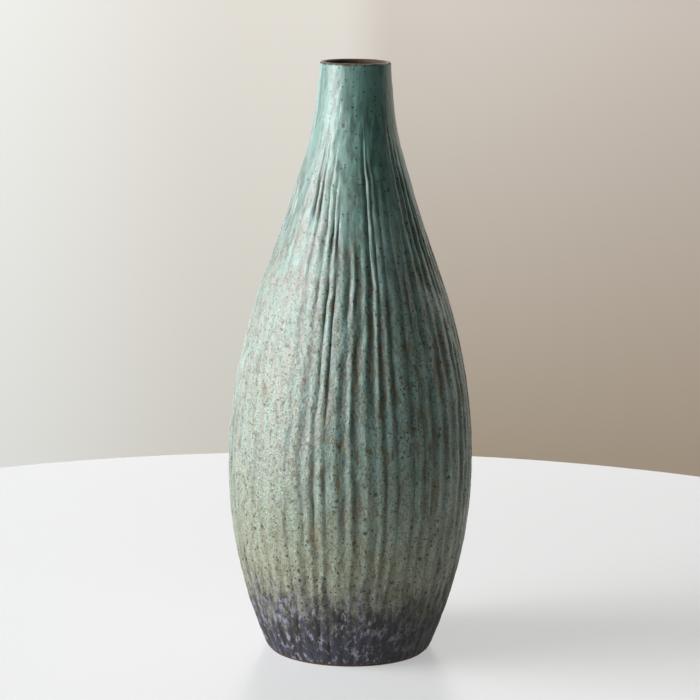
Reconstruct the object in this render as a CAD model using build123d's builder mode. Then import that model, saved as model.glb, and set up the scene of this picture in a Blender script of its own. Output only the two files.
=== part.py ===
# Bottle vase: a stoneware body under four glaze coats, the outer ones carved with upright flutes.
# The origin is the middle of the foot on the table, Z is up, lengths are in millimetres.
import os
from math import cos, pi, radians, sin, sqrt

from build123d import *

# Glazed outline over the ribs, from the table up; each rise is counted from the point below it
foot_radius = 41.2
belly_radius = 61.9
belly_rise = 100.0
shoulder_radius = 48.8
shoulder_rise = 80.0
collar_radius = 34.8
collar_rise = 40.0
neck_radius = 25.4
neck_rise = 30.0
lip_radius = 17.8
lip_rise = 46.5
lip_band = 3.5
foot_flare = 24.0
lip_taper = 4.0

# Clay wall, measured level from the glazed outside to the inner face of the clay
wall = 6.0
lip_wall = 2.2
floor = 8.0
floor_corner = 9.0
foot_ring = 7.5
foot_recess = 2.5

# Glaze coats; the outer one is this thick at the bottom of a groove
glaze = 0.6
liner = 0.4
bare_strip = 1.2
dark_rise = 34.0

# Carved flutes; wander, lean and sway are shares of the spacing between two grooves
flute_count = 54
flute_depth = 1.5
flute_wander = 0.2
flute_lean = 0.15
flute_sway = 0.1
sway_length = 130.0
run_out = 38.0
run_out_spread = 26.0
run_out_fade = 55.0
foot_fade = 70.0
foot_share = 0.25
ring_gap = 15.0

belly_height = belly_rise
shoulder_height = belly_height + shoulder_rise
collar_height = shoulder_height + collar_rise
neck_height = collar_height + neck_rise
lip_height = neck_height + lip_rise
height = lip_height + lip_band
golden = (sqrt(5) - 1) / 2


def heading(angle):
    return (sin(radians(angle)), cos(radians(angle)))


def polar(radius, angle):
    return (radius * cos(angle), radius * sin(angle))


# Spread evenly between -1 and 1, the same on every run
def scatter(index, step):
    return 2 * (index * step * golden % 1) - 1


# The outline from a start below the belly, set in from the glazed outside
def outline(start, inset, lip_inset):
    return Spline(
        start,
        (belly_radius - inset, belly_height),
        (shoulder_radius - inset, shoulder_height),
        (collar_radius - inset, collar_height),
        (neck_radius - inset, neck_height),
        (lip_radius - lip_inset, lip_height),
        tangents=(heading(foot_flare), heading(-lip_taper)),
    )


with BuildLine(Plane.XZ) as profile:
    outline((foot_radius, 0), 0, 0)


def radius_at(level):
    return profile.edge().intersect(Plane.XY.offset(level)).vertex().X


# Angle and depth of one groove at a level; it runs out below the lip and towards the foot
def groove(index, level):
    sway = sin(2 * pi * (level / sway_length + scatter(index, 4)))
    drift = flute_wander * scatter(index, 1) + flute_lean * scatter(index, 2) * level / height + flute_sway * sway
    end = lip_height - run_out + run_out_spread * scatter(index, 3)
    rise = min(1, max(0, (end - level) / run_out_fade))
    fade = min(1, foot_share + (1 - foot_share) * level / foot_fade)
    return 2 * pi * (index + drift) / flute_count, flute_depth * fade * rise * rise * (3 - 2 * rise)


# One ring of ribs: a curve from groove to groove, its middle on the crest
def rib_ring(level):
    crest = radius_at(level)
    grooves = [groove(index, level) for index in range(flute_count)]
    first_angle, first_depth = grooves[0]
    grooves.append((first_angle + 2 * pi, first_depth))
    with BuildSketch(Plane.XY.offset(level)) as ring:
        with BuildLine():
            for (left, left_depth), (right, right_depth) in zip(grooves, grooves[1:]):
                start = Vector(polar(crest - left_depth, left))
                end = Vector(polar(crest - right_depth, right))
                middle = Vector(polar(crest, (left + right) / 2))
                Bezier(start, middle * 2 - (start + end) / 2, end)
        make_face()
    return ring.sketch


# Levels from a bottom up to the lip, closer together towards both ends
def levels(bottom):
    steps = round((lip_height - bottom) / ring_gap)
    return [bottom + (lip_height - bottom) * (1 - cos(pi * step / steps)) / 2 for step in range(steps + 1)]


# Outside of the clay, under the deepest groove at its level
def clay_point(level):
    deepest = max(depth for angle, depth in (groove(index, level) for index in range(flute_count)))
    return (radius_at(level) - glaze - deepest, level)


def clay_section():
    points = [clay_point(level) for level in levels(0)]
    with BuildSketch(Plane.XZ) as section:
        with BuildLine():
            Spline(points)
            Polyline(points[-1], (0, lip_height), (0, 0), points[0])
        make_face()
    return section.sketch


# Half section from a start to the lip, filled to the axis
def filled_section(start, inset, lip_inset):
    with BuildSketch(Plane.XZ) as section:
        with BuildLine():
            side = outline(start, inset, lip_inset)
            Polyline(side @ 1, (0, lip_height), (0, start[1]), start)
        make_face()
    return section.sketch


# Half section of the space inside, set in by a coat
def hollow_section(coat):
    bottom = floor + coat
    with BuildSketch(Plane.XZ) as section:
        add(filled_section((radius_at(bottom) - wall - coat, bottom), wall + coat, lip_wall + coat))
        fillet(section.vertices().group_by(Axis.Y)[0].sort_by(Axis.X)[-1], floor_corner - coat)
    return section.sketch


# Half section of the lip with a round top
def lip_section(outer, inner, top):
    turn = top - (outer - inner) / 2
    with BuildSketch(Plane.XZ) as section:
        with BuildLine():
            Polyline((inner, turn), (inner, lip_height), (outer, lip_height), (outer, turn))
            ThreePointArc((outer, turn), ((outer + inner) / 2, top), (inner, turn))
        make_face()
    return section.sketch


clay_outside = clay_section()
lip_clay = lip_section(lip_radius - glaze, lip_radius - lip_wall, height - glaze)
lip_coated = lip_section(lip_radius, lip_radius - lip_wall - liner, height)

with BuildPart() as clay_body:
    revolve(clay_outside, axis=Axis.Z)
    revolve(lip_clay, axis=Axis.Z)
    revolve(hollow_section(0), axis=Axis.Z, mode=Mode.SUBTRACT)
    Cylinder(
        clay_point(0)[0] - foot_ring,
        foot_recess,
        align=(Align.CENTER, Align.CENTER, Align.MIN),
        mode=Mode.SUBTRACT,
    )

# Both outer coats are cut from one carved form, so the flutes run on from one to the other
with BuildPart() as outer_coat:
    loft([rib_ring(level) for level in levels(bare_strip)])
    revolve(clay_outside, axis=Axis.Z, mode=Mode.SUBTRACT)

with BuildPart() as green_glaze:
    add(outer_coat.part)
    split(bisect_by=Plane.XY.offset(dark_rise), keep=Keep.TOP)

with BuildPart() as foot_glaze:
    add(outer_coat.part)
    split(bisect_by=Plane.XY.offset(dark_rise), keep=Keep.BOTTOM)

with BuildPart() as lip_glaze:
    revolve(lip_coated, axis=Axis.Z)
    revolve(lip_clay, axis=Axis.Z, mode=Mode.SUBTRACT)

with BuildPart() as liner_glaze:
    revolve(hollow_section(0), axis=Axis.Z)
    revolve(hollow_section(liner), axis=Axis.Z, mode=Mode.SUBTRACT)

os.makedirs("parts", exist_ok=True)
clay_body.part.label = "clay_body"
export_step(clay_body.part, "parts/clay_body.step")
green_glaze.part.label = "green_glaze"
export_step(green_glaze.part, "parts/green_glaze.step")
foot_glaze.part.label = "foot_glaze"
export_step(foot_glaze.part, "parts/foot_glaze.step")
lip_glaze.part.label = "lip_glaze"
export_step(lip_glaze.part, "parts/lip_glaze.step")
liner_glaze.part.label = "liner_glaze"
export_step(liner_glaze.part, "parts/liner_glaze.step")
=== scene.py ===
import math

import bpy
from mathutils import Matrix, Vector, noise as mathNoise


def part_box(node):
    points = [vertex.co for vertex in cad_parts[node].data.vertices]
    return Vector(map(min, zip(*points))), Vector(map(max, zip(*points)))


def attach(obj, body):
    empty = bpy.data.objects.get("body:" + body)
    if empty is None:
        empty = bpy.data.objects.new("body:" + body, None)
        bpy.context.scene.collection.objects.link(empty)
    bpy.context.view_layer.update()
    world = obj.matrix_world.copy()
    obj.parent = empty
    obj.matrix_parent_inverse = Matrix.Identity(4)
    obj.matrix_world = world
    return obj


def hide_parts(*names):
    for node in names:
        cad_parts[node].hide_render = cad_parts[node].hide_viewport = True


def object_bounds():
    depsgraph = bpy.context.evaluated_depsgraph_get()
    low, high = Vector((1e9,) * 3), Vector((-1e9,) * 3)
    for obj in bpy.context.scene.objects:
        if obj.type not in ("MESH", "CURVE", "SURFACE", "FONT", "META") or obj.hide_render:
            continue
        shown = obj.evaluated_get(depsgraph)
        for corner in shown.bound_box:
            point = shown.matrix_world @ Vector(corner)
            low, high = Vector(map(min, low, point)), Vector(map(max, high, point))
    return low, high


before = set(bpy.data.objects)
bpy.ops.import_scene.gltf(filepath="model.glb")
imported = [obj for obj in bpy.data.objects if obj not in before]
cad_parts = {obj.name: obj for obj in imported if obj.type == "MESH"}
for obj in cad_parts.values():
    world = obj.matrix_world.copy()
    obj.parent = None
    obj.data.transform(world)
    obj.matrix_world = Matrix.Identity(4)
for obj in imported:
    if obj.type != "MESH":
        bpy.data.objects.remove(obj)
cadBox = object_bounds()
scene = bpy.context.scene
scene.view_settings.view_transform = "Standard"
print("frame loaded:", ", ".join(sorted(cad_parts)))


# small helpers for node trees
def addNode(tree, kind, sockets=None, **settings):
    node = tree.nodes.new(kind)
    for name, value in settings.items():
        setattr(node, name, value)
    for key, value in (sockets or {}).items():
        if isinstance(value, bpy.types.NodeSocket):
            tree.links.new(value, node.inputs[key])
        else:
            node.inputs[key].default_value = value
    return node


def wire(tree, sockets, inputs):  # links each socket to the input of its name
    for name, socket in sockets.items():
        tree.links.new(socket, inputs[name])


def calc(tree, operation, *values):
    return addNode(tree, "ShaderNodeMath", dict(enumerate(values)), operation=operation).outputs[0]


def vectorCalc(tree, operation, *values):
    return addNode(tree, "ShaderNodeVectorMath", dict(enumerate(values)), operation=operation).outputs


def ease(tree, value, none, full):  # 0 at none, 1 at full, smooth between, in either direction
    sockets = {"Value": value, "From Min": none, "From Max": full}
    return addNode(tree, "ShaderNodeMapRange", sockets, interpolation_type="SMOOTHSTEP").outputs[0]


def spread(tree, value, low, high):  # 0..1 to low..high
    sockets = {"Value": value, "To Min": low, "To Max": high}
    return addNode(tree, "ShaderNodeMapRange", sockets).outputs[0]


def blend(tree, share, start, end):  # a value between two others
    return addNode(tree, "ShaderNodeMix", {0: share, 2: start, 3: end}).outputs[0]


def layer(tree, amount, under, over):  # paint one colour over another
    return addNode(tree, "ShaderNodeMix", {0: amount, 6: under, 7: over}, data_type="RGBA").outputs[2]


def noise(tree, vector, scale, detail=2.0, roughness=0.5):
    sockets = {"Vector": vector, "Scale": scale, "Detail": detail, "Roughness": roughness}
    return addNode(tree, "ShaderNodeTexNoise", sockets).outputs[0]


def axes(tree, vector):
    return addNode(tree, "ShaderNodeSeparateXYZ", {0: vector}).outputs


def scaled(tree, vector, factor):
    return addNode(tree, "ShaderNodeVectorMath", {0: vector, "Scale": factor}, operation="SCALE").outputs[0]


def stretch(tree, vector, x, y, z):
    return vectorCalc(tree, "MULTIPLY", vector, (x, y, z))[0]


def distance(tree, vector, point):
    return vectorCalc(tree, "DISTANCE", vector, point)["Value"]


def around(tree, radius, angle, level):  # point at an angle round the axis
    x, y = calc(tree, "COSINE", angle), calc(tree, "SINE", angle)
    sockets = {"X": calc(tree, "MULTIPLY", radius, x), "Y": calc(tree, "MULTIPLY", radius, y), "Z": level}
    return addNode(tree, "ShaderNodeCombineXYZ", sockets).outputs[0]


def tint(red, green, blue):  # screen colour 0..255 to scene linear
    linear = [((c / 255 + 0.055) / 1.055) ** 2.4 if c > 10 else c / 255 / 12.92 for c in (red, green, blue)]
    return (*linear, 1.0)


def newGroup(name, kind, inputs, outputs):
    tree = bpy.data.node_groups.new(name, kind)
    for direction, sockets in (("INPUT", inputs), ("OUTPUT", outputs)):
        for label, socket in sockets.items():
            tree.interface.new_socket(label, in_out=direction, socket_type="NodeSocket" + socket)
    return tree, tree.nodes.new("NodeGroupInput").outputs, tree.nodes.new("NodeGroupOutput").inputs


def newMaterial(name, constants):  # constants go on the shader's own sockets
    material = bpy.data.materials.new(name)
    material.use_nodes = True
    tree = material.node_tree
    tree.nodes.clear()
    shader = addNode(tree, "ShaderNodeBsdfPrincipled", constants)
    addNode(tree, "ShaderNodeOutputMaterial", {0: shader.outputs[0]})
    return material, tree, shader


def addObject(name, data):
    item = bpy.data.objects.new(name, data)
    scene.collection.objects.link(item)
    return item


# camera at the angle of the photograph
cameraSet = {
    "place": (-0.0009, -1.404, 0.410), "pitch": 10.33, "roll": 0.74,  # metres and degrees
    "lens": 145.1, "sensor": 36.0,  # millimetres
}
camera = addObject("camera", bpy.data.cameras.new("camera"))
camera.data.lens = cameraSet["lens"]
camera.data.sensor_width = cameraSet["sensor"]
camera.location = cameraSet["place"]
tilt = Matrix.Rotation(math.radians(90 - cameraSet["pitch"]), 4, "X")
camera.rotation_euler = (tilt @ Matrix.Rotation(math.radians(cameraSet["roll"]), 4, "Z")).to_euler()
scene.camera = camera
print("camera set")


# glaze: one running colour from the clean neck to the dark foot, in millimetres
glazeSet = {
    "patterns": {  # stretch along x, y and z, then scale, detail and roughness of a noise
        "cloud": ((1, 1, 1), 0.035, 3.0, 0.5),
        "streak": ((1, 1, 0.14), 0.22, 4.0, 0.6),
        "runs": ((1, 1, 0.12), 0.3, 3.0, 0.6),
        "mottle": ((1, 1, 0.7), 0.22, 6.0, 0.7),
        "patches": ((1, 1, 0.45), 0.2, 5.0, 0.7),
        "pepper": ((1, 1, 0.8), 0.6, 3.0, 0.6),
        "salt": ((-1, 1, 0.9), 0.7, 3.0, 0.6),
        "bark": ((1, 1, 0.4), 0.5, 5.0, 0.7),
        "flecks": ((1, 1, 0.45), 0.4, 5.0, 0.65),
        "grain": ((1, 1, 1), 1.3, 3.0, 0.7),
    },
    "finishes": {  # colour, the pattern values at which it starts and is full, strength
        "celadon": {"color": tint(89, 131, 120)},
        "celadonPale": {"color": tint(110, 151, 145), "edge": (0.35, 0.65), "share": 1.0},
        # a paler grey painted as sheen on the lit side
        "paintedSheen": {"color": tint(113, 121, 112), "edge": (0.35, 0.6), "share": 1.0},
        "runs": {"color": tint(27, 44, 34), "edge": (0.47, 0.6), "share": 0.5},
        "grey": {"color": tint(126, 127, 115), "edge": (0.5, 0.6), "share": 0.18},
        "ash": {"color": tint(102, 132, 104), "edge": (210.0, 110.0), "share": 0.3},
        "salt": {"color": tint(164, 174, 150), "edge": (0.54, 0.66), "share": 0.35},
        # painted highlight along the rib crests
        "crest": {"color": tint(164, 174, 150), "edge": (0.25, 0.0), "share": 0.28},
        # glaze pooled in the grooves, also painted shade
        "poolAndShade": {"color": tint(27, 44, 34), "share": 0.65},
        "rust": {"color": tint(72, 72, 32), "edge": (0.53, 0.63), "share": 0.85},
        "rustMottle": {"color": tint(72, 72, 32), "edge": (0.57, 0.67), "share": 0.5},
        "pepper": {"color": tint(46, 49, 30), "edge": (0.57, 0.66), "share": 0.8},
        "khaki": {"color": tint(147, 143, 117), "edge": (118.0, 32.0), "share": 0.6},
        "bark": {"color": tint(60, 50, 30), "edge": (0.52, 0.62), "share": 0.7},
        "dark": {"color": tint(32, 26, 18), "edge": (58.0, 18.0)},
        # bluer slate painted as sheen on the lit side of the foot
        "slateSheen": {"color": tint(42, 43, 55), "edge": (0.38, 0.55)},
        "lilac": {"color": tint(150, 150, 168), "edge": (0.63, 0.76), "share": 1.0},
        "iron": {"color": tint(17, 20, 10), "share": 0.9},
    },
    "bodyEdge": (290.0, 200.0), "bodyCloud": 80.0,  # the neck above is clean
    "streaky": 0.55, "ashDrift": 120.0, "raggedness": 130.0,  # how far the edges run up and down
    "rustInGrooves": 0.06, "fleckCloud": 0.25,
    # where the painted sheen lies on the body
    "sheenSide": {"place": (-46.0, -36.0, 45.0), "reach": (55.0, 22.0), "tall": 0.25},
    "footSheenSide": {"place": (-35.0, -25.0, 15.0), "reach": (78.0, 40.0), "flecks": (0.08, 0.65)},
    "specks": {
        "fine": {"scale": 0.55, "size": 0.4, "rarity": 0.42},
        "coarse": {"scale": 0.22, "size": 0.27, "rarity": 0.5},
    },
    "speckWobble": {"scale": 0.7, "reach": 1.6}, "speckSizes": (0.4, 1.0), "speckEdge": 0.25,
    "moreBelow": 0.35,  # more specks on the body than on the neck
    "shade": (0.5, 2.4), "rough": (0.42, 0.5), "coat": (0.36, 0.7),  # on the neck, on the body
    "roughMottle": 0.3, "roughKhaki": 0.1, "coatKhaki": 0.5, "coatDark": 0.15,
    "grainBump": (0.1, 1.0), "pepperBump": (0.1, 1.4), "mottleBump": 0.8,
    "shader": {"IOR": 1.45, "Coat IOR": 1.7, "Coat Roughness": 0.25},
    "bump": {"Strength": 0.9, "Distance": 0.0004},  # distance in metres
}


def makeRunningGlaze():
    tree, inputs, outputs = newGroup(
        "runningGlaze", "ShaderNodeTree",
        {"Position": "Vector", "Groove": "Float"},
        {"Color": "Color", "Roughness": "Float", "Coat": "Float", "Height": "Float"},
    )
    finishes, sheenSide, footSheenSide = glazeSet["finishes"], glazeSet["sheenSide"], glazeSet["footSheenSide"]
    groove = inputs["Groove"]
    place = scaled(tree, inputs["Position"], 1000.0)  # metres to millimetres
    level = axes(tree, place)["Z"]
    pattern = {}
    for name, (stretching, *values) in glazeSet["patterns"].items():
        pattern[name] = noise(tree, stretch(tree, place, *stretching), *values)
    cloud, streak, mottle = pattern["cloud"], pattern["streak"], pattern["mottle"]
    below = ease(tree, calc(tree, "MULTIPLY_ADD", cloud, glazeSet["bodyCloud"], level), *glazeSet["bodyEdge"])
    drift = blend(tree, glazeSet["streaky"], mottle, streak)
    ragged = calc(tree, "MULTIPLY_ADD", calc(tree, "SUBTRACT", drift, 0.5), glazeSet["raggedness"], level)

    def spots(name, source):  # where a finish shows
        return ease(tree, source, *finishes[name]["edge"])

    def paint(name, *masks):  # lays a finish over the colour so far
        nonlocal color
        amount = finishes[name]["share"]
        for mask in masks:
            amount = calc(tree, "MULTIPLY", mask, amount)
        color = layer(tree, amount, color, finishes[name]["color"])

    color = finishes["celadon"]["color"]
    paint("celadonPale", spots("celadonPale", cloud))
    # painted sheen: a paler, greyer green on one side, the left-front that the window lamps light
    flattened = stretch(tree, place, 1, 1, sheenSide["tall"])
    sheenPatch = ease(tree, distance(tree, flattened, sheenSide["place"]), *sheenSide["reach"])
    paint("paintedSheen", sheenPatch, spots("paintedSheen", streak))
    # dark runs, then greyer runs and a paler ash green low on the body
    paint("runs", spots("runs", pattern["runs"]))
    paint("grey", spots("grey", streak), below)
    paint("ash", spots("ash", calc(tree, "MULTIPLY_ADD", drift, glazeSet["ashDrift"], level)))
    # pale specks; pale crests as a painted highlight; dark where it pools in the grooves, partly the glaze
    # and partly painted shade
    paint("salt", spots("salt", pattern["salt"]), below)
    paint("crest", spots("crest", groove), below)
    paint("poolAndShade", groove)
    # patches of rust, a little more of it in the grooves, then dark pepper
    patches = calc(tree, "MULTIPLY_ADD", groove, glazeSet["rustInGrooves"], pattern["patches"])
    paint("rust", spots("rust", patches), below)
    paint("rustMottle", spots("rustMottle", mottle), below)
    paint("pepper", spots("pepper", pattern["pepper"]), below)
    # khaki with bark above the dark foot
    khaki, dark = spots("khaki", ragged), spots("dark", ragged)
    paint("khaki", khaki)
    paint("bark", spots("bark", pattern["bark"]), khaki)
    # painted sheen: the foot is bluer and more flecked on one side, the left-front that the window lamps
    # light
    footSheen = ease(tree, distance(tree, place, footSheenSide["place"]), *footSheenSide["reach"])
    slateSheen = calc(tree, "MULTIPLY", spots("slateSheen", streak), footSheen)
    foot = layer(tree, slateSheen, finishes["dark"]["color"], finishes["slateSheen"]["color"])
    color = layer(tree, dark, color, foot)
    flecks = calc(tree, "MULTIPLY_ADD", cloud, glazeSet["fleckCloud"], pattern["flecks"])
    # lilac flecks of the glaze, with more of them on the lit side as painted highlight
    paint("lilac", spots("lilac", flecks), dark, spread(tree, footSheen, *footSheenSide["flecks"]))
    # iron specks: a few on the neck, many on the body
    wobble = addNode(tree, "ShaderNodeTexNoise", {"Vector": place, "Scale": glazeSet["speckWobble"]["scale"]})
    shift = scaled(tree, wobble.outputs["Color"], glazeSet["speckWobble"]["reach"])
    shaken = vectorCalc(tree, "ADD", shift, place)[0]
    more = glazeSet["moreBelow"]
    for speck in glazeSet["specks"].values():
        cells = addNode(tree, "ShaderNodeTexVoronoi", {"Vector": shaken, "Scale": speck["scale"]}).outputs
        odds = addNode(tree, "ShaderNodeSeparateColor", {0: cells["Color"]}).outputs
        likely = calc(tree, "MULTIPLY_ADD", below, more, odds[0])
        keep = calc(tree, "GREATER_THAN", likely, speck["rarity"] + more)
        reach = calc(tree, "MULTIPLY", spread(tree, odds[1], *glazeSet["speckSizes"]), speck["size"])
        near = calc(tree, "SUBTRACT", reach, cells["Distance"])
        paint("iron", ease(tree, near, 0.0, speck["size"] * glazeSet["speckEdge"]), keep)

    def fromNeck(name):  # one value on the neck, another on the body
        return spread(tree, below, *glazeSet[name])

    grain = pattern["grain"]
    shade = calc(tree, "MULTIPLY_ADD", calc(tree, "SUBTRACT", grain, 0.5), fromNeck("shade"), 1.0)
    patchy = calc(tree, "MULTIPLY", calc(tree, "SUBTRACT", mottle, 0.5), glazeSet["roughMottle"])
    rough = calc(tree, "ADD", patchy, fromNeck("rough"))
    matt = calc(tree, "MULTIPLY", spread(tree, khaki, 1.0, glazeSet["coatKhaki"]),
                spread(tree, dark, 1.0, glazeSet["coatDark"]))
    height = calc(tree, "MULTIPLY", grain, fromNeck("grainBump"))
    height = calc(tree, "MULTIPLY_ADD", pattern["pepper"], fromNeck("pepperBump"), height)
    wire(tree, {
        "Color": scaled(tree, color, shade),
        "Roughness": calc(tree, "MULTIPLY_ADD", khaki, glazeSet["roughKhaki"], rough),
        "Coat": calc(tree, "MULTIPLY", fromNeck("coat"), matt),
        "Height": calc(tree, "MULTIPLY_ADD", mottle, glazeSet["mottleBump"], height),
    }, outputs)
    return tree


runningGlaze = makeRunningGlaze()
print("glaze mixed")


def makeGlaze(name):
    material, tree, shader = newMaterial(name, glazeSet["shader"])
    place = addNode(tree, "ShaderNodeTexCoord").outputs["Object"]
    carved = addNode(tree, "ShaderNodeAttribute", attribute_name="groove").outputs["Fac"]
    sockets = {"Position": place, "Groove": carved}
    glaze = addNode(tree, "ShaderNodeGroup", sockets, node_tree=runningGlaze).outputs
    bump = addNode(tree, "ShaderNodeBump", {"Height": glaze["Height"], **glazeSet["bump"]}).outputs[0]
    wire(tree, {
        "Base Color": glaze["Color"], "Roughness": glaze["Roughness"], "Coat Weight": glaze["Coat"],
        "Normal": bump, "Coat Normal": bump,
    }, shader.inputs)
    return material, tree, shader, place, glaze["Color"]


# carved wall, made by Geometry Nodes on the CAD outline, in metres
wallSet = {
    "flutes": 54, "columns": 9, "greenRows": 160, "footRows": 26, "innerRows": 24,
    "depth": 0.0011, "ribShape": 1.3, "waver": 0.0022, "unevenness": 0.0005, "coat": 0.0005,
    "wander": 0.2, "lean": 0.15, "sway": 0.1, "swayLength": 0.130,  # first three in groove spacings
    "runOut": 0.038, "runOutSpread": 0.026, "runOutFade": 0.055, "footFade": 0.055, "footShare": 0.4,
    "patterns": {  # stretch up the wall and scale of a noise
        "waver": (0.8, 75.0), "lumps": (1.0, 34.0), "knocks": (0.6, 240.0),
        "press": (0.4, 90.0), "ribs": (0.3, 55.0),
    },
    "knocks": 1.5, "calm": 0.012,  # share of knocks in the lumps, none of them near the lip
    "pressEdge": (0.3, 0.65), "press": (0.3, 1.15), "ribEdge": (0.35, 0.65), "ribs": (0.25, 1.4),
    "filled": {"place": (-0.046, -0.036, 0.040), "reach": (0.020, 0.040), "tall": 0.25, "depth": 0.15},
    "greenEdge": 0.0, "footEdge": 0.0005, "edgeReach": (0.0016, -0.0012),
    "squeeze": 0.05, "weld": 0.000002, "corner": math.radians(50),
    "widest": 0.065, "stations": 22, "inset": 0.0003, "rays": 540, "rayStart": 0.2,  # reading the CAD outline
}
footLow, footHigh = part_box("foot_glaze")
greenLow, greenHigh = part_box("green_glaze")
lipLow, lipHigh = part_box("lip_glaze")
vaseHeight = cadBox[1].z


def crestRadius(level):
    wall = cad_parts["foot_glaze" if level < footHigh.z else "green_glaze"]
    reach = 0.0
    for ray in range(wallSet["rays"]):
        angle = math.tau * ray / wallSet["rays"]
        outward = Vector((math.cos(angle), math.sin(angle), 0))
        found, point, _, _ = wall.ray_cast(outward * wallSet["rayStart"] + Vector((0, 0, level)), -outward)
        if found:
            reach = max(reach, point.xy.length)
    return reach


def makeGrooveLine():
    tree, inputs, outputs = newGroup(
        "grooveLine", "GeometryNodeTree",
        {"Groove": "Float", "Level": "Float", "Flutes": "Float"}, {"Angle": "Float", "Depth": "Float"},
    )
    golden = (math.sqrt(5) - 1) / 2
    groove, level, flutes = inputs["Groove"], inputs["Level"], inputs["Flutes"]
    ring = calc(tree, "FLOORED_MODULO", groove, flutes)

    def scatter(step):  # between -1 and 1, the same on every run
        return spread(tree, calc(tree, "FRACT", calc(tree, "MULTIPLY", ring, step * golden)), -1.0, 1.0)

    turn = calc(tree, "ADD", calc(tree, "DIVIDE", level, wallSet["swayLength"]), scatter(4))
    sway = calc(tree, "SINE", calc(tree, "MULTIPLY", turn, math.tau))
    lean = calc(tree, "MULTIPLY", calc(tree, "MULTIPLY", scatter(2), wallSet["lean"] / vaseHeight), level)
    drift = calc(tree, "MULTIPLY_ADD", scatter(1), wallSet["wander"], lean)
    drift = calc(tree, "MULTIPLY_ADD", sway, wallSet["sway"], drift)
    angle = calc(tree, "DIVIDE", calc(tree, "MULTIPLY", calc(tree, "ADD", groove, drift), math.tau), flutes)
    end = calc(tree, "MULTIPLY_ADD", scatter(3), wallSet["runOutSpread"], greenHigh.z - wallSet["runOut"])
    rise = ease(tree, calc(tree, "SUBTRACT", end, level), 0.0, wallSet["runOutFade"])
    fade = addNode(tree, "ShaderNodeMapRange", {
        "Value": level, "From Max": wallSet["footFade"], "To Min": wallSet["footShare"],
    }).outputs[0]
    wire(tree, {"Angle": angle, "Depth": calc(tree, "MULTIPLY", rise, fade)}, outputs)
    return tree


def addOutline(tree, level):  # radius over the crests at a level
    outline = addNode(tree, "ShaderNodeFloatCurve", {"Value": calc(tree, "DIVIDE", level, vaseHeight)})
    low, high = footLow.z + wallSet["inset"], greenHigh.z - wallSet["inset"]
    levels = [low + (high - low) * step / wallSet["stations"] for step in range(wallSet["stations"] + 1)]
    stations = [(z / vaseHeight, crestRadius(z) / wallSet["widest"]) for z in levels]
    points = outline.mapping.curves[0].points
    points[0].location, points[1].location = stations[0], stations[-1]
    for station in stations[1:-1]:
        points.new(*station)
    outline.mapping.use_clip = False
    outline.mapping.extend = "EXTRAPOLATED"
    outline.mapping.update()
    return calc(tree, "MULTIPLY", outline.outputs[0], wallSet["widest"])


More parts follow.
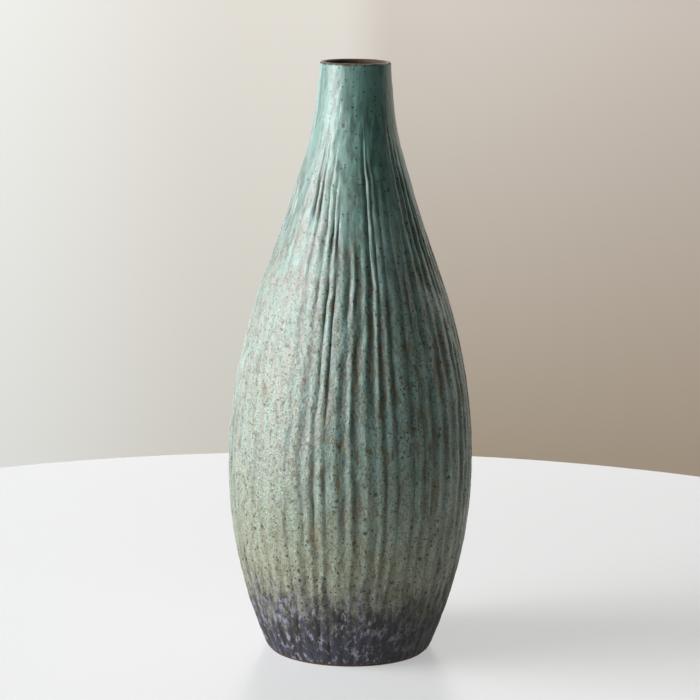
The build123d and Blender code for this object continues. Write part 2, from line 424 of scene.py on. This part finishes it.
def makeFlutedWall():
    tree, inputs, outputs = newGroup(
        "flutedWall", "GeometryNodeTree",
        {"Geometry": "Geometry", "Bottom": "Float", "Top": "Float",
         "Flutes": "Int", "Columns": "Int", "Rows": "Int", "Inner Rows": "Int",
         "Depth": "Float", "Rib Shape": "Float", "Waver": "Float", "Unevenness": "Float",
         "Coat": "Float", "Edge": "Float", "Material": "Material"},
        {"Geometry": "Geometry"},
    )
    rows, innerRows, flutes = inputs["Rows"], inputs["Inner Rows"], inputs["Flutes"]
    across = calc(tree, "MULTIPLY_ADD", flutes, inputs["Columns"], 1.0)
    total = calc(tree, "ADD", rows, innerRows)
    grid = addNode(tree, "GeometryNodeMeshGrid", {
        "Size X": 1.0, "Size Y": 1.0, "Vertices X": across, "Vertices Y": calc(tree, "ADD", total, 1.0),
    })
    flat = axes(tree, addNode(tree, "GeometryNodeInputPosition").outputs[0])
    # rows go up the outside, down the inside and close on the first row
    row = calc(tree, "ROUND", calc(tree, "MULTIPLY", calc(tree, "ADD", flat["Y"], 0.5), total))
    row = calc(tree, "FLOORED_MODULO", row, total)
    inside = calc(tree, "GREATER_THAN", row, calc(tree, "SUBTRACT", rows, 0.5))
    upward = calc(tree, "DIVIDE", row, calc(tree, "SUBTRACT", rows, 1.0))
    downward = calc(tree, "DIVIDE", calc(tree, "SUBTRACT", row, rows), calc(tree, "SUBTRACT", innerRows, 1.0))
    share = blend(tree, inside, upward, calc(tree, "SUBTRACT", 1.0, downward))
    level = blend(tree, share, inputs["Bottom"], inputs["Top"])
    # columns are closer together at the grooves
    along = calc(tree, "MULTIPLY", calc(tree, "ADD", flat["X"], 0.5), flutes)
    groove = calc(tree, "FLOOR", along)
    part = calc(tree, "SUBTRACT", along, groove)
    bunched = calc(tree, "SINE", calc(tree, "MULTIPLY", part, math.tau))
    part = calc(tree, "MULTIPLY_ADD", bunched, -wallSet["squeeze"], part)
    line = makeGrooveLine()
    sockets = {"Groove": groove, "Level": level, "Flutes": flutes}
    left = addNode(tree, "GeometryNodeGroup", sockets, node_tree=line).outputs
    sockets["Groove"] = calc(tree, "ADD", groove, 1.0)
    right = addNode(tree, "GeometryNodeGroup", sockets, node_tree=line).outputs
    angle = blend(tree, part, left["Angle"], right["Angle"])
    deep = blend(tree, part, left["Depth"], right["Depth"])
    crest = addOutline(tree, level)
    base = around(tree, crest, angle, level)

    def handWork(name):  # unsteadiness along the wall, 0..1
        upStretch, scale = wallSet["patterns"][name]
        return noise(tree, stretch(tree, base, 1, 1, upStretch), scale)

    # the cutter was not held steady, so the ribs waver
    waver = calc(tree, "SUBTRACT", handWork("waver"), 0.5)
    angle = calc(tree, "MULTIPLY_ADD", calc(tree, "DIVIDE", waver, crest), inputs["Waver"], angle)
    # lumps in the wall, and grooves cut deeper in places
    steady = ease(tree, calc(tree, "SUBTRACT", greenHigh.z, level), 0.0, wallSet["calm"])
    lumps = calc(tree, "SUBTRACT", handWork("lumps"), 0.5)
    knocks = calc(tree, "SUBTRACT", handWork("knocks"), 0.5)
    lumps = calc(tree, "MULTIPLY_ADD", knocks, wallSet["knocks"], lumps)
    lumps = calc(tree, "MULTIPLY", calc(tree, "MULTIPLY", lumps, steady), inputs["Unevenness"])
    press = spread(tree, ease(tree, handWork("press"), *wallSet["pressEdge"]), *wallSet["press"])
    # thicker glaze fills the grooves on one side
    filled = wallSet["filled"]
    away = distance(tree, stretch(tree, base, 1, 1, filled["tall"]), filled["place"])
    clear = ease(tree, away, *filled["reach"])
    press = calc(tree, "MULTIPLY", press, spread(tree, clear, filled["depth"], 1.0))
    # some ribs are broad with a narrow groove, some are thin
    ridge = calc(tree, "COSINE", calc(tree, "MULTIPLY", part, math.tau))
    ridge = calc(tree, "MULTIPLY_ADD", ridge, -0.5, 0.5)
    broad = spread(tree, ease(tree, handWork("ribs"), *wallSet["ribEdge"]), *wallSet["ribs"])
    valley = calc(tree, "POWER", ridge, calc(tree, "MULTIPLY", broad, inputs["Rib Shape"]))
    valley = calc(tree, "SUBTRACT", 1.0, valley)
    carved = calc(tree, "MULTIPLY", calc(tree, "MULTIPLY", deep, valley), press)
    radius = calc(tree, "ADD", crest, lumps)
    radius = calc(tree, "SUBTRACT", radius, calc(tree, "MULTIPLY", carved, inputs["Depth"]))
    # the coat draws in round its lower edge
    nearEdge = ease(tree, calc(tree, "SUBTRACT", level, inputs["Bottom"]), *wallSet["edgeReach"])
    radius = calc(tree, "SUBTRACT", radius, calc(tree, "MULTIPLY", nearEdge, inputs["Edge"]))
    radius = calc(tree, "SUBTRACT", radius, calc(tree, "MULTIPLY", inside, inputs["Coat"]))

    def step(kind, geometry, sockets=None, **settings):
        sockets = {"Geometry": geometry, **(sockets or {})}
        return addNode(tree, "GeometryNode" + kind, sockets, **settings).outputs[0]

    wall = step("StoreNamedAttribute", grid.outputs["Mesh"], {"Name": "groove", "Value": carved},
                data_type="FLOAT", domain="POINT")
    wall = step("SetPosition", wall, {"Position": around(tree, radius, angle, level)})
    wall = step("MergeByDistance", wall, {"Distance": wallSet["weld"]})
    wall = step("SetShadeSmooth", wall)
    edgeAngle = addNode(tree, "GeometryNodeInputMeshEdgeAngle").outputs[0]
    corner = calc(tree, "GREATER_THAN", edgeAngle, wallSet["corner"])
    wall = step("SetShadeSmooth", wall, {"Selection": corner, "Shade Smooth": False}, domain="EDGE")
    wall = step("RealizeInstances", wall)
    wall = step("SetMaterial", wall, {"Material": inputs["Material"]})
    wire(tree, {"Geometry": wall}, outputs)
    return tree


flutedWall = makeFlutedWall()


def settle(holder, tree, values):  # runs the tree once and keeps a plain mesh
    modifier = holder.modifiers.new("make", "NODES")
    modifier.node_group = tree
    for item in tree.interface.items_tree:
        if item.in_out == "INPUT" and item.name in values:
            modifier[item.identifier] = values[item.name]
    made = bpy.data.meshes.new_from_object(holder.evaluated_get(bpy.context.evaluated_depsgraph_get()))
    holder.modifiers.remove(modifier)
    holder.data = made
    made.name = holder.name


def makeWall(name, node, low, high, rows, edge):
    holder = addObject(name, bpy.data.meshes.new(name))
    settle(holder, flutedWall, {
        "Bottom": low, "Top": high,
        "Flutes": wallSet["flutes"], "Columns": wallSet["columns"],
        "Rows": rows, "Inner Rows": wallSet["innerRows"],
        "Depth": wallSet["depth"], "Rib Shape": wallSet["ribShape"],
        "Waver": wallSet["waver"], "Unevenness": wallSet["unevenness"],
        "Coat": wallSet["coat"], "Edge": edge, "Material": makeGlaze(name)[0],
    })
    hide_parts(node)
    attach(holder, "root")
    triangles = sum(len(face.vertices) - 2 for face in holder.data.polygons)
    print(name, "made:", triangles, "triangles")


makeWall("greenWall", "green_glaze", greenLow.z, greenHigh.z,
         wallSet["greenRows"], wallSet["greenEdge"])
makeWall("footWall", "foot_glaze", footLow.z, footHigh.z,
         wallSet["footRows"], wallSet["footEdge"])


# lip: a thin uneven roll of brown glaze, in metres
lipSet = {
    "columns": 240, "corners": 14, "sharp": math.radians(50), "rayRise": 0.0005,
    "wave": 0.00022, "swellScale": 3.1, "swellRise": 400.0, "dropScale": 2.3,
    "brown": tint(78, 62, 48), "burnt": tint(40, 31, 24), "burntEdge": (0.4, 0.7),
    "cloud": (420.0, 3.0), "grain": (1500.0, 2.0),  # scale and detail
    "wear": 0.0025, "topEdge": (0.0015, 0.0005), "innerEdge": 0.0004,  # how far down and in it is bare
    "rough": (0.42, 0.8), "coat": (0.36, 0.0),  # glazed and bare
}


def makeLipMaterial(middle):
    material, tree, shader, place, color = makeGlaze("lipGlaze")
    cloud = noise(tree, place, *lipSet["cloud"])
    grain = noise(tree, place, *lipSet["grain"])
    # the glaze runs off the edge, so the top and the inside are brown
    worn = calc(tree, "MULTIPLY", calc(tree, "SUBTRACT", cloud, 0.5), lipSet["wear"])
    worn = calc(tree, "ADD", worn, axes(tree, place)["Z"])
    top = ease(tree, worn, *(lipHigh.z - depth for depth in lipSet["topEdge"]))
    reach = distance(tree, stretch(tree, place, 1, 1, 0), (0, 0, 0))
    bare = calc(tree, "MAXIMUM", top, ease(tree, reach, middle, middle - lipSet["innerEdge"]))
    brown = layer(tree, ease(tree, grain, *lipSet["burntEdge"]), lipSet["brown"], lipSet["burnt"])
    wire(tree, {
        "Base Color": layer(tree, bare, color, brown),
        "Roughness": spread(tree, bare, *lipSet["rough"]),
        "Coat Weight": spread(tree, bare, *lipSet["coat"]),
    }, shader.inputs)
    return material


def makeLip():
    start = Vector((0, 0, lipLow.z + lipSet["rayRise"]))
    outer, inner = lipHigh.x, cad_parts["lip_glaze"].ray_cast(start, Vector((1, 0, 0)))[1].x
    half = (outer - inner) / 2
    middle, turn = (outer + inner) / 2, lipHigh.z - half
    section = [(outer, lipLow.z)]
    for corner in range(lipSet["corners"] + 1):
        angle = math.pi * corner / lipSet["corners"]
        section.append((middle + half * math.cos(angle), turn + half * math.sin(angle)))
    section.append((inner, lipLow.z))
    points, faces, count = [], [], len(section)
    for column in range(lipSet["columns"]):
        angle = math.tau * column / lipSet["columns"]
        way = Vector((math.cos(angle), math.sin(angle), 0))
        drop = mathNoise.noise(way * lipSet["dropScale"]) - 0.5
        for radius, level in section:
            free = (level - lipLow.z) / (lipHigh.z - lipLow.z)  # none where it meets the wall
            wave = lipSet["wave"] * free
            swell = mathNoise.noise(way * lipSet["swellScale"] + Vector((0, 0, level * lipSet["swellRise"])))
            points.append(way * (radius + wave * swell) + Vector((0, 0, level + wave * drop)))
        here, there = column * count, (column + 1) % lipSet["columns"] * count
        for low in range(count):
            high = (low + 1) % count
            faces.append((here + low, there + low, there + high, here + high))
    mesh = bpy.data.meshes.new("lipRoll")
    mesh.from_pydata(points, [], faces)
    mesh.shade_smooth()
    mesh.set_sharp_from_angle(angle=lipSet["sharp"])
    mesh.materials.append(makeLipMaterial(middle))
    lip = addObject("lipRoll", mesh)
    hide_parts("lip_glaze")
    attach(lip, "root")
    print("lipRoll made:", len(faces) * 2, "triangles")


makeLip()


# clay and liner keep their CAD shape
plainSet = {
    "clay_body": {
        "light": tint(84, 57, 45), "deep": tint(58, 38, 30), "rough": (0.7, 0.95),
        "cloud": (90.0, 4.0), "grain": (600.0, 4.0, 0.65), "bump": {"Strength": 0.7, "Distance": 0.0002},
    },
    "liner_glaze": {
        "light": tint(66, 54, 45), "deep": tint(42, 34, 28), "rough": (0.25, 0.5),
        "cloud": (24.0, 4.0), "grain": (160.0, 4.0, 0.65), "bump": {"Strength": 0.7, "Distance": 0.00008},
    },
}
cloudiness, lightEdge = 0.6, (0.35, 0.65)


def paintPlain(name, light, deep, rough, cloud, grain, bump):
    material, tree, shader = newMaterial(name, {})
    place = addNode(tree, "ShaderNodeTexCoord").outputs["Object"]
    clouds, grains = noise(tree, place, *cloud), noise(tree, place, *grain)
    mixed = ease(tree, blend(tree, cloudiness, grains, clouds), *lightEdge)
    wire(tree, {
        "Base Color": layer(tree, mixed, deep, light),
        "Roughness": spread(tree, grains, *rough),
        "Normal": addNode(tree, "ShaderNodeBump", {"Height": grains, **bump}).outputs[0],
    }, shader.inputs)
    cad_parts[name].material_slots[0].material = material


for name, values in plainSet.items():
    paintPlain(name, **values)
print("clay and liner painted")


# floor, background and light
floorSet = {
    "radius": 0.46, "corners": 256,
    "shader": {"Base Color": (0.552, 0.56, 0.58, 1.0), "Roughness": 0.3, "Specular IOR Level": 0.04},
}


def makeFloor():
    turns = [math.tau * corner / floorSet["corners"] for corner in range(floorSet["corners"])]
    rim = [(floorSet["radius"] * math.cos(turn), floorSet["radius"] * math.sin(turn), 0) for turn in turns]
    mesh = bpy.data.meshes.new("floor")
    mesh.from_pydata(rim, [], [range(floorSet["corners"])])
    mesh.materials.append(newMaterial("floor", floorSet["shader"])[0])
    addObject("floor", mesh)


makeFloor()

# pale on the left, warmer on the right, all darker lower down; edges are directions of view
backdropSet = {
    "zones": {
        "left": {"high": tint(239, 239, 235), "low": tint(220, 220, 216)},
        "middle": {"high": tint(226, 222, 213), "low": tint(203, 200, 191), "edge": (-0.13, -0.036)},
        "right": {"high": tint(212, 204, 195), "low": tint(160, 147, 130), "edge": (-0.006, 0.014)},
        "farRight": {"high": tint(199, 189, 180), "low": tint(157, 143, 126), "edge": (0.02, 0.14)},
    },
    "lower": (-0.06, -0.215), "fill": (0.01, 0.01, 0.01, 1.0),
    "window": (-0.135, -0.38), "glow": (1.5, 1.5, 1.48, 1.0),
}


def makeBackdrop():
    scene.world = bpy.data.worlds.new("studio")
    scene.world.use_nodes = True
    tree = scene.world.node_tree
    tree.nodes.clear()
    side = axes(tree, addNode(tree, "ShaderNodeTexCoord").outputs["Generated"])
    upper, bottom = backdropSet["lower"]
    sockets = {"Value": side["Z"], "From Min": upper, "From Max": bottom}
    lower = addNode(tree, "ShaderNodeMapRange", sockets).outputs[0]
    color = None
    for zone in backdropSet["zones"].values():
        shade = layer(tree, lower, zone["high"], zone["low"])
        color = layer(tree, ease(tree, side["X"], *zone["edge"]), color, shade) if color else shade
    seen = addNode(tree, "ShaderNodeLightPath").outputs
    # the window side is bright in reflections
    window = calc(tree, "MULTIPLY", ease(tree, side["X"], *backdropSet["window"]), seen["Is Glossy Ray"])
    color = layer(tree, window, color, backdropSet["glow"])
    shown = calc(tree, "MAXIMUM", seen["Is Camera Ray"], seen["Is Glossy Ray"])
    shown = calc(tree, "MAXIMUM", shown, seen["Is Transmission Ray"])
    sky = addNode(tree, "ShaderNodeBackground", {"Color": layer(tree, shown, backdropSet["fill"], color)})
    addNode(tree, "ShaderNodeOutputWorld", {0: sky.outputs[0]})


makeBackdrop()

lightSet = {
    "windowNear": {"place": (-2.2, -1.0, 0.65), "aim": (0, 0, 0.4), "size": (1.1, 1.3), "power": 48.0},
    "windowFar": {"place": (-2.39, -0.21, 0.65), "aim": (0, 0, 0.4), "size": (1.2, 1.3), "power": 34.0,
                  "color": (1, 0.97, 0.98)},
    "skyNear": {"place": (-2.39, -0.21, 1.9), "aim": (0, 0, 0.2), "size": (1.2, 1.1), "power": 24.0},
    "skyFar": {"place": (-2.21, 0.94, 1.9), "aim": (0, 0, 0.2), "size": (1.2, 1.1), "power": 18.0,
               "shadow": False},
    "room": {"place": (-0.9, -2.12, 0.8), "aim": (0, 0, 0.2), "size": (2.2, 1.6), "power": 10.0},
    "bounce": {"place": (2.2, 0.9, 0.9), "aim": (0, 0, 0.2), "size": (2.4, 1.6), "power": 4.0,
               "color": (1, 0.94, 0.82), "shadow": False},
    "back": {"place": (0.5, 2.2, 1.6), "aim": (0.2, 0, 0), "size": (2.4, 1.4), "power": 92.0,
             "color": (1, 0.99, 0.95), "shadow": False},
}


def addLight(name, place, aim, size, power, color=(1, 1, 1), shadow=True):
    lamp = bpy.data.lights.new(name, "AREA")
    lamp.shape = "RECTANGLE"
    lamp.size, lamp.size_y = size
    lamp.energy = power
    lamp.color = color
    lamp.use_shadow = shadow
    holder = addObject(name, lamp)
    holder.location = place
    holder.rotation_euler = (Vector(aim) - Vector(place)).to_track_quat("-Z", "Y").to_euler()
    holder.visible_camera = False


for name, values in lightSet.items():
    addLight(name, **values)

# dark cards stand in for the unlit side of the room, seen only in reflections
cardSet = {
    "rightCard": {"ends": ((0.40, -1.0), (1.05, 0.30)), "low": -1.0, "high": 1.6},
    "frontCard": {"ends": ((-0.75, -1.75), (0.65, -1.75)), "low": -1.0, "high": 0.75},
}
cardMaterial = newMaterial("card", {"Base Color": (0.03, 0.03, 0.03, 1.0), "Roughness": 0.9})[0]


def addCard(name, ends, low, high):
    start, end = ends
    mesh = bpy.data.meshes.new(name)
    mesh.from_pydata([(*start, low), (*end, low), (*end, high), (*start, high)], [], [(0, 1, 2, 3)])
    mesh.materials.append(cardMaterial)
    card = addObject(name, mesh)
    card.visible_camera = card.visible_diffuse = card.visible_shadow = False


for name, values in cardSet.items():
    addCard(name, **values)
print("stage and light set")
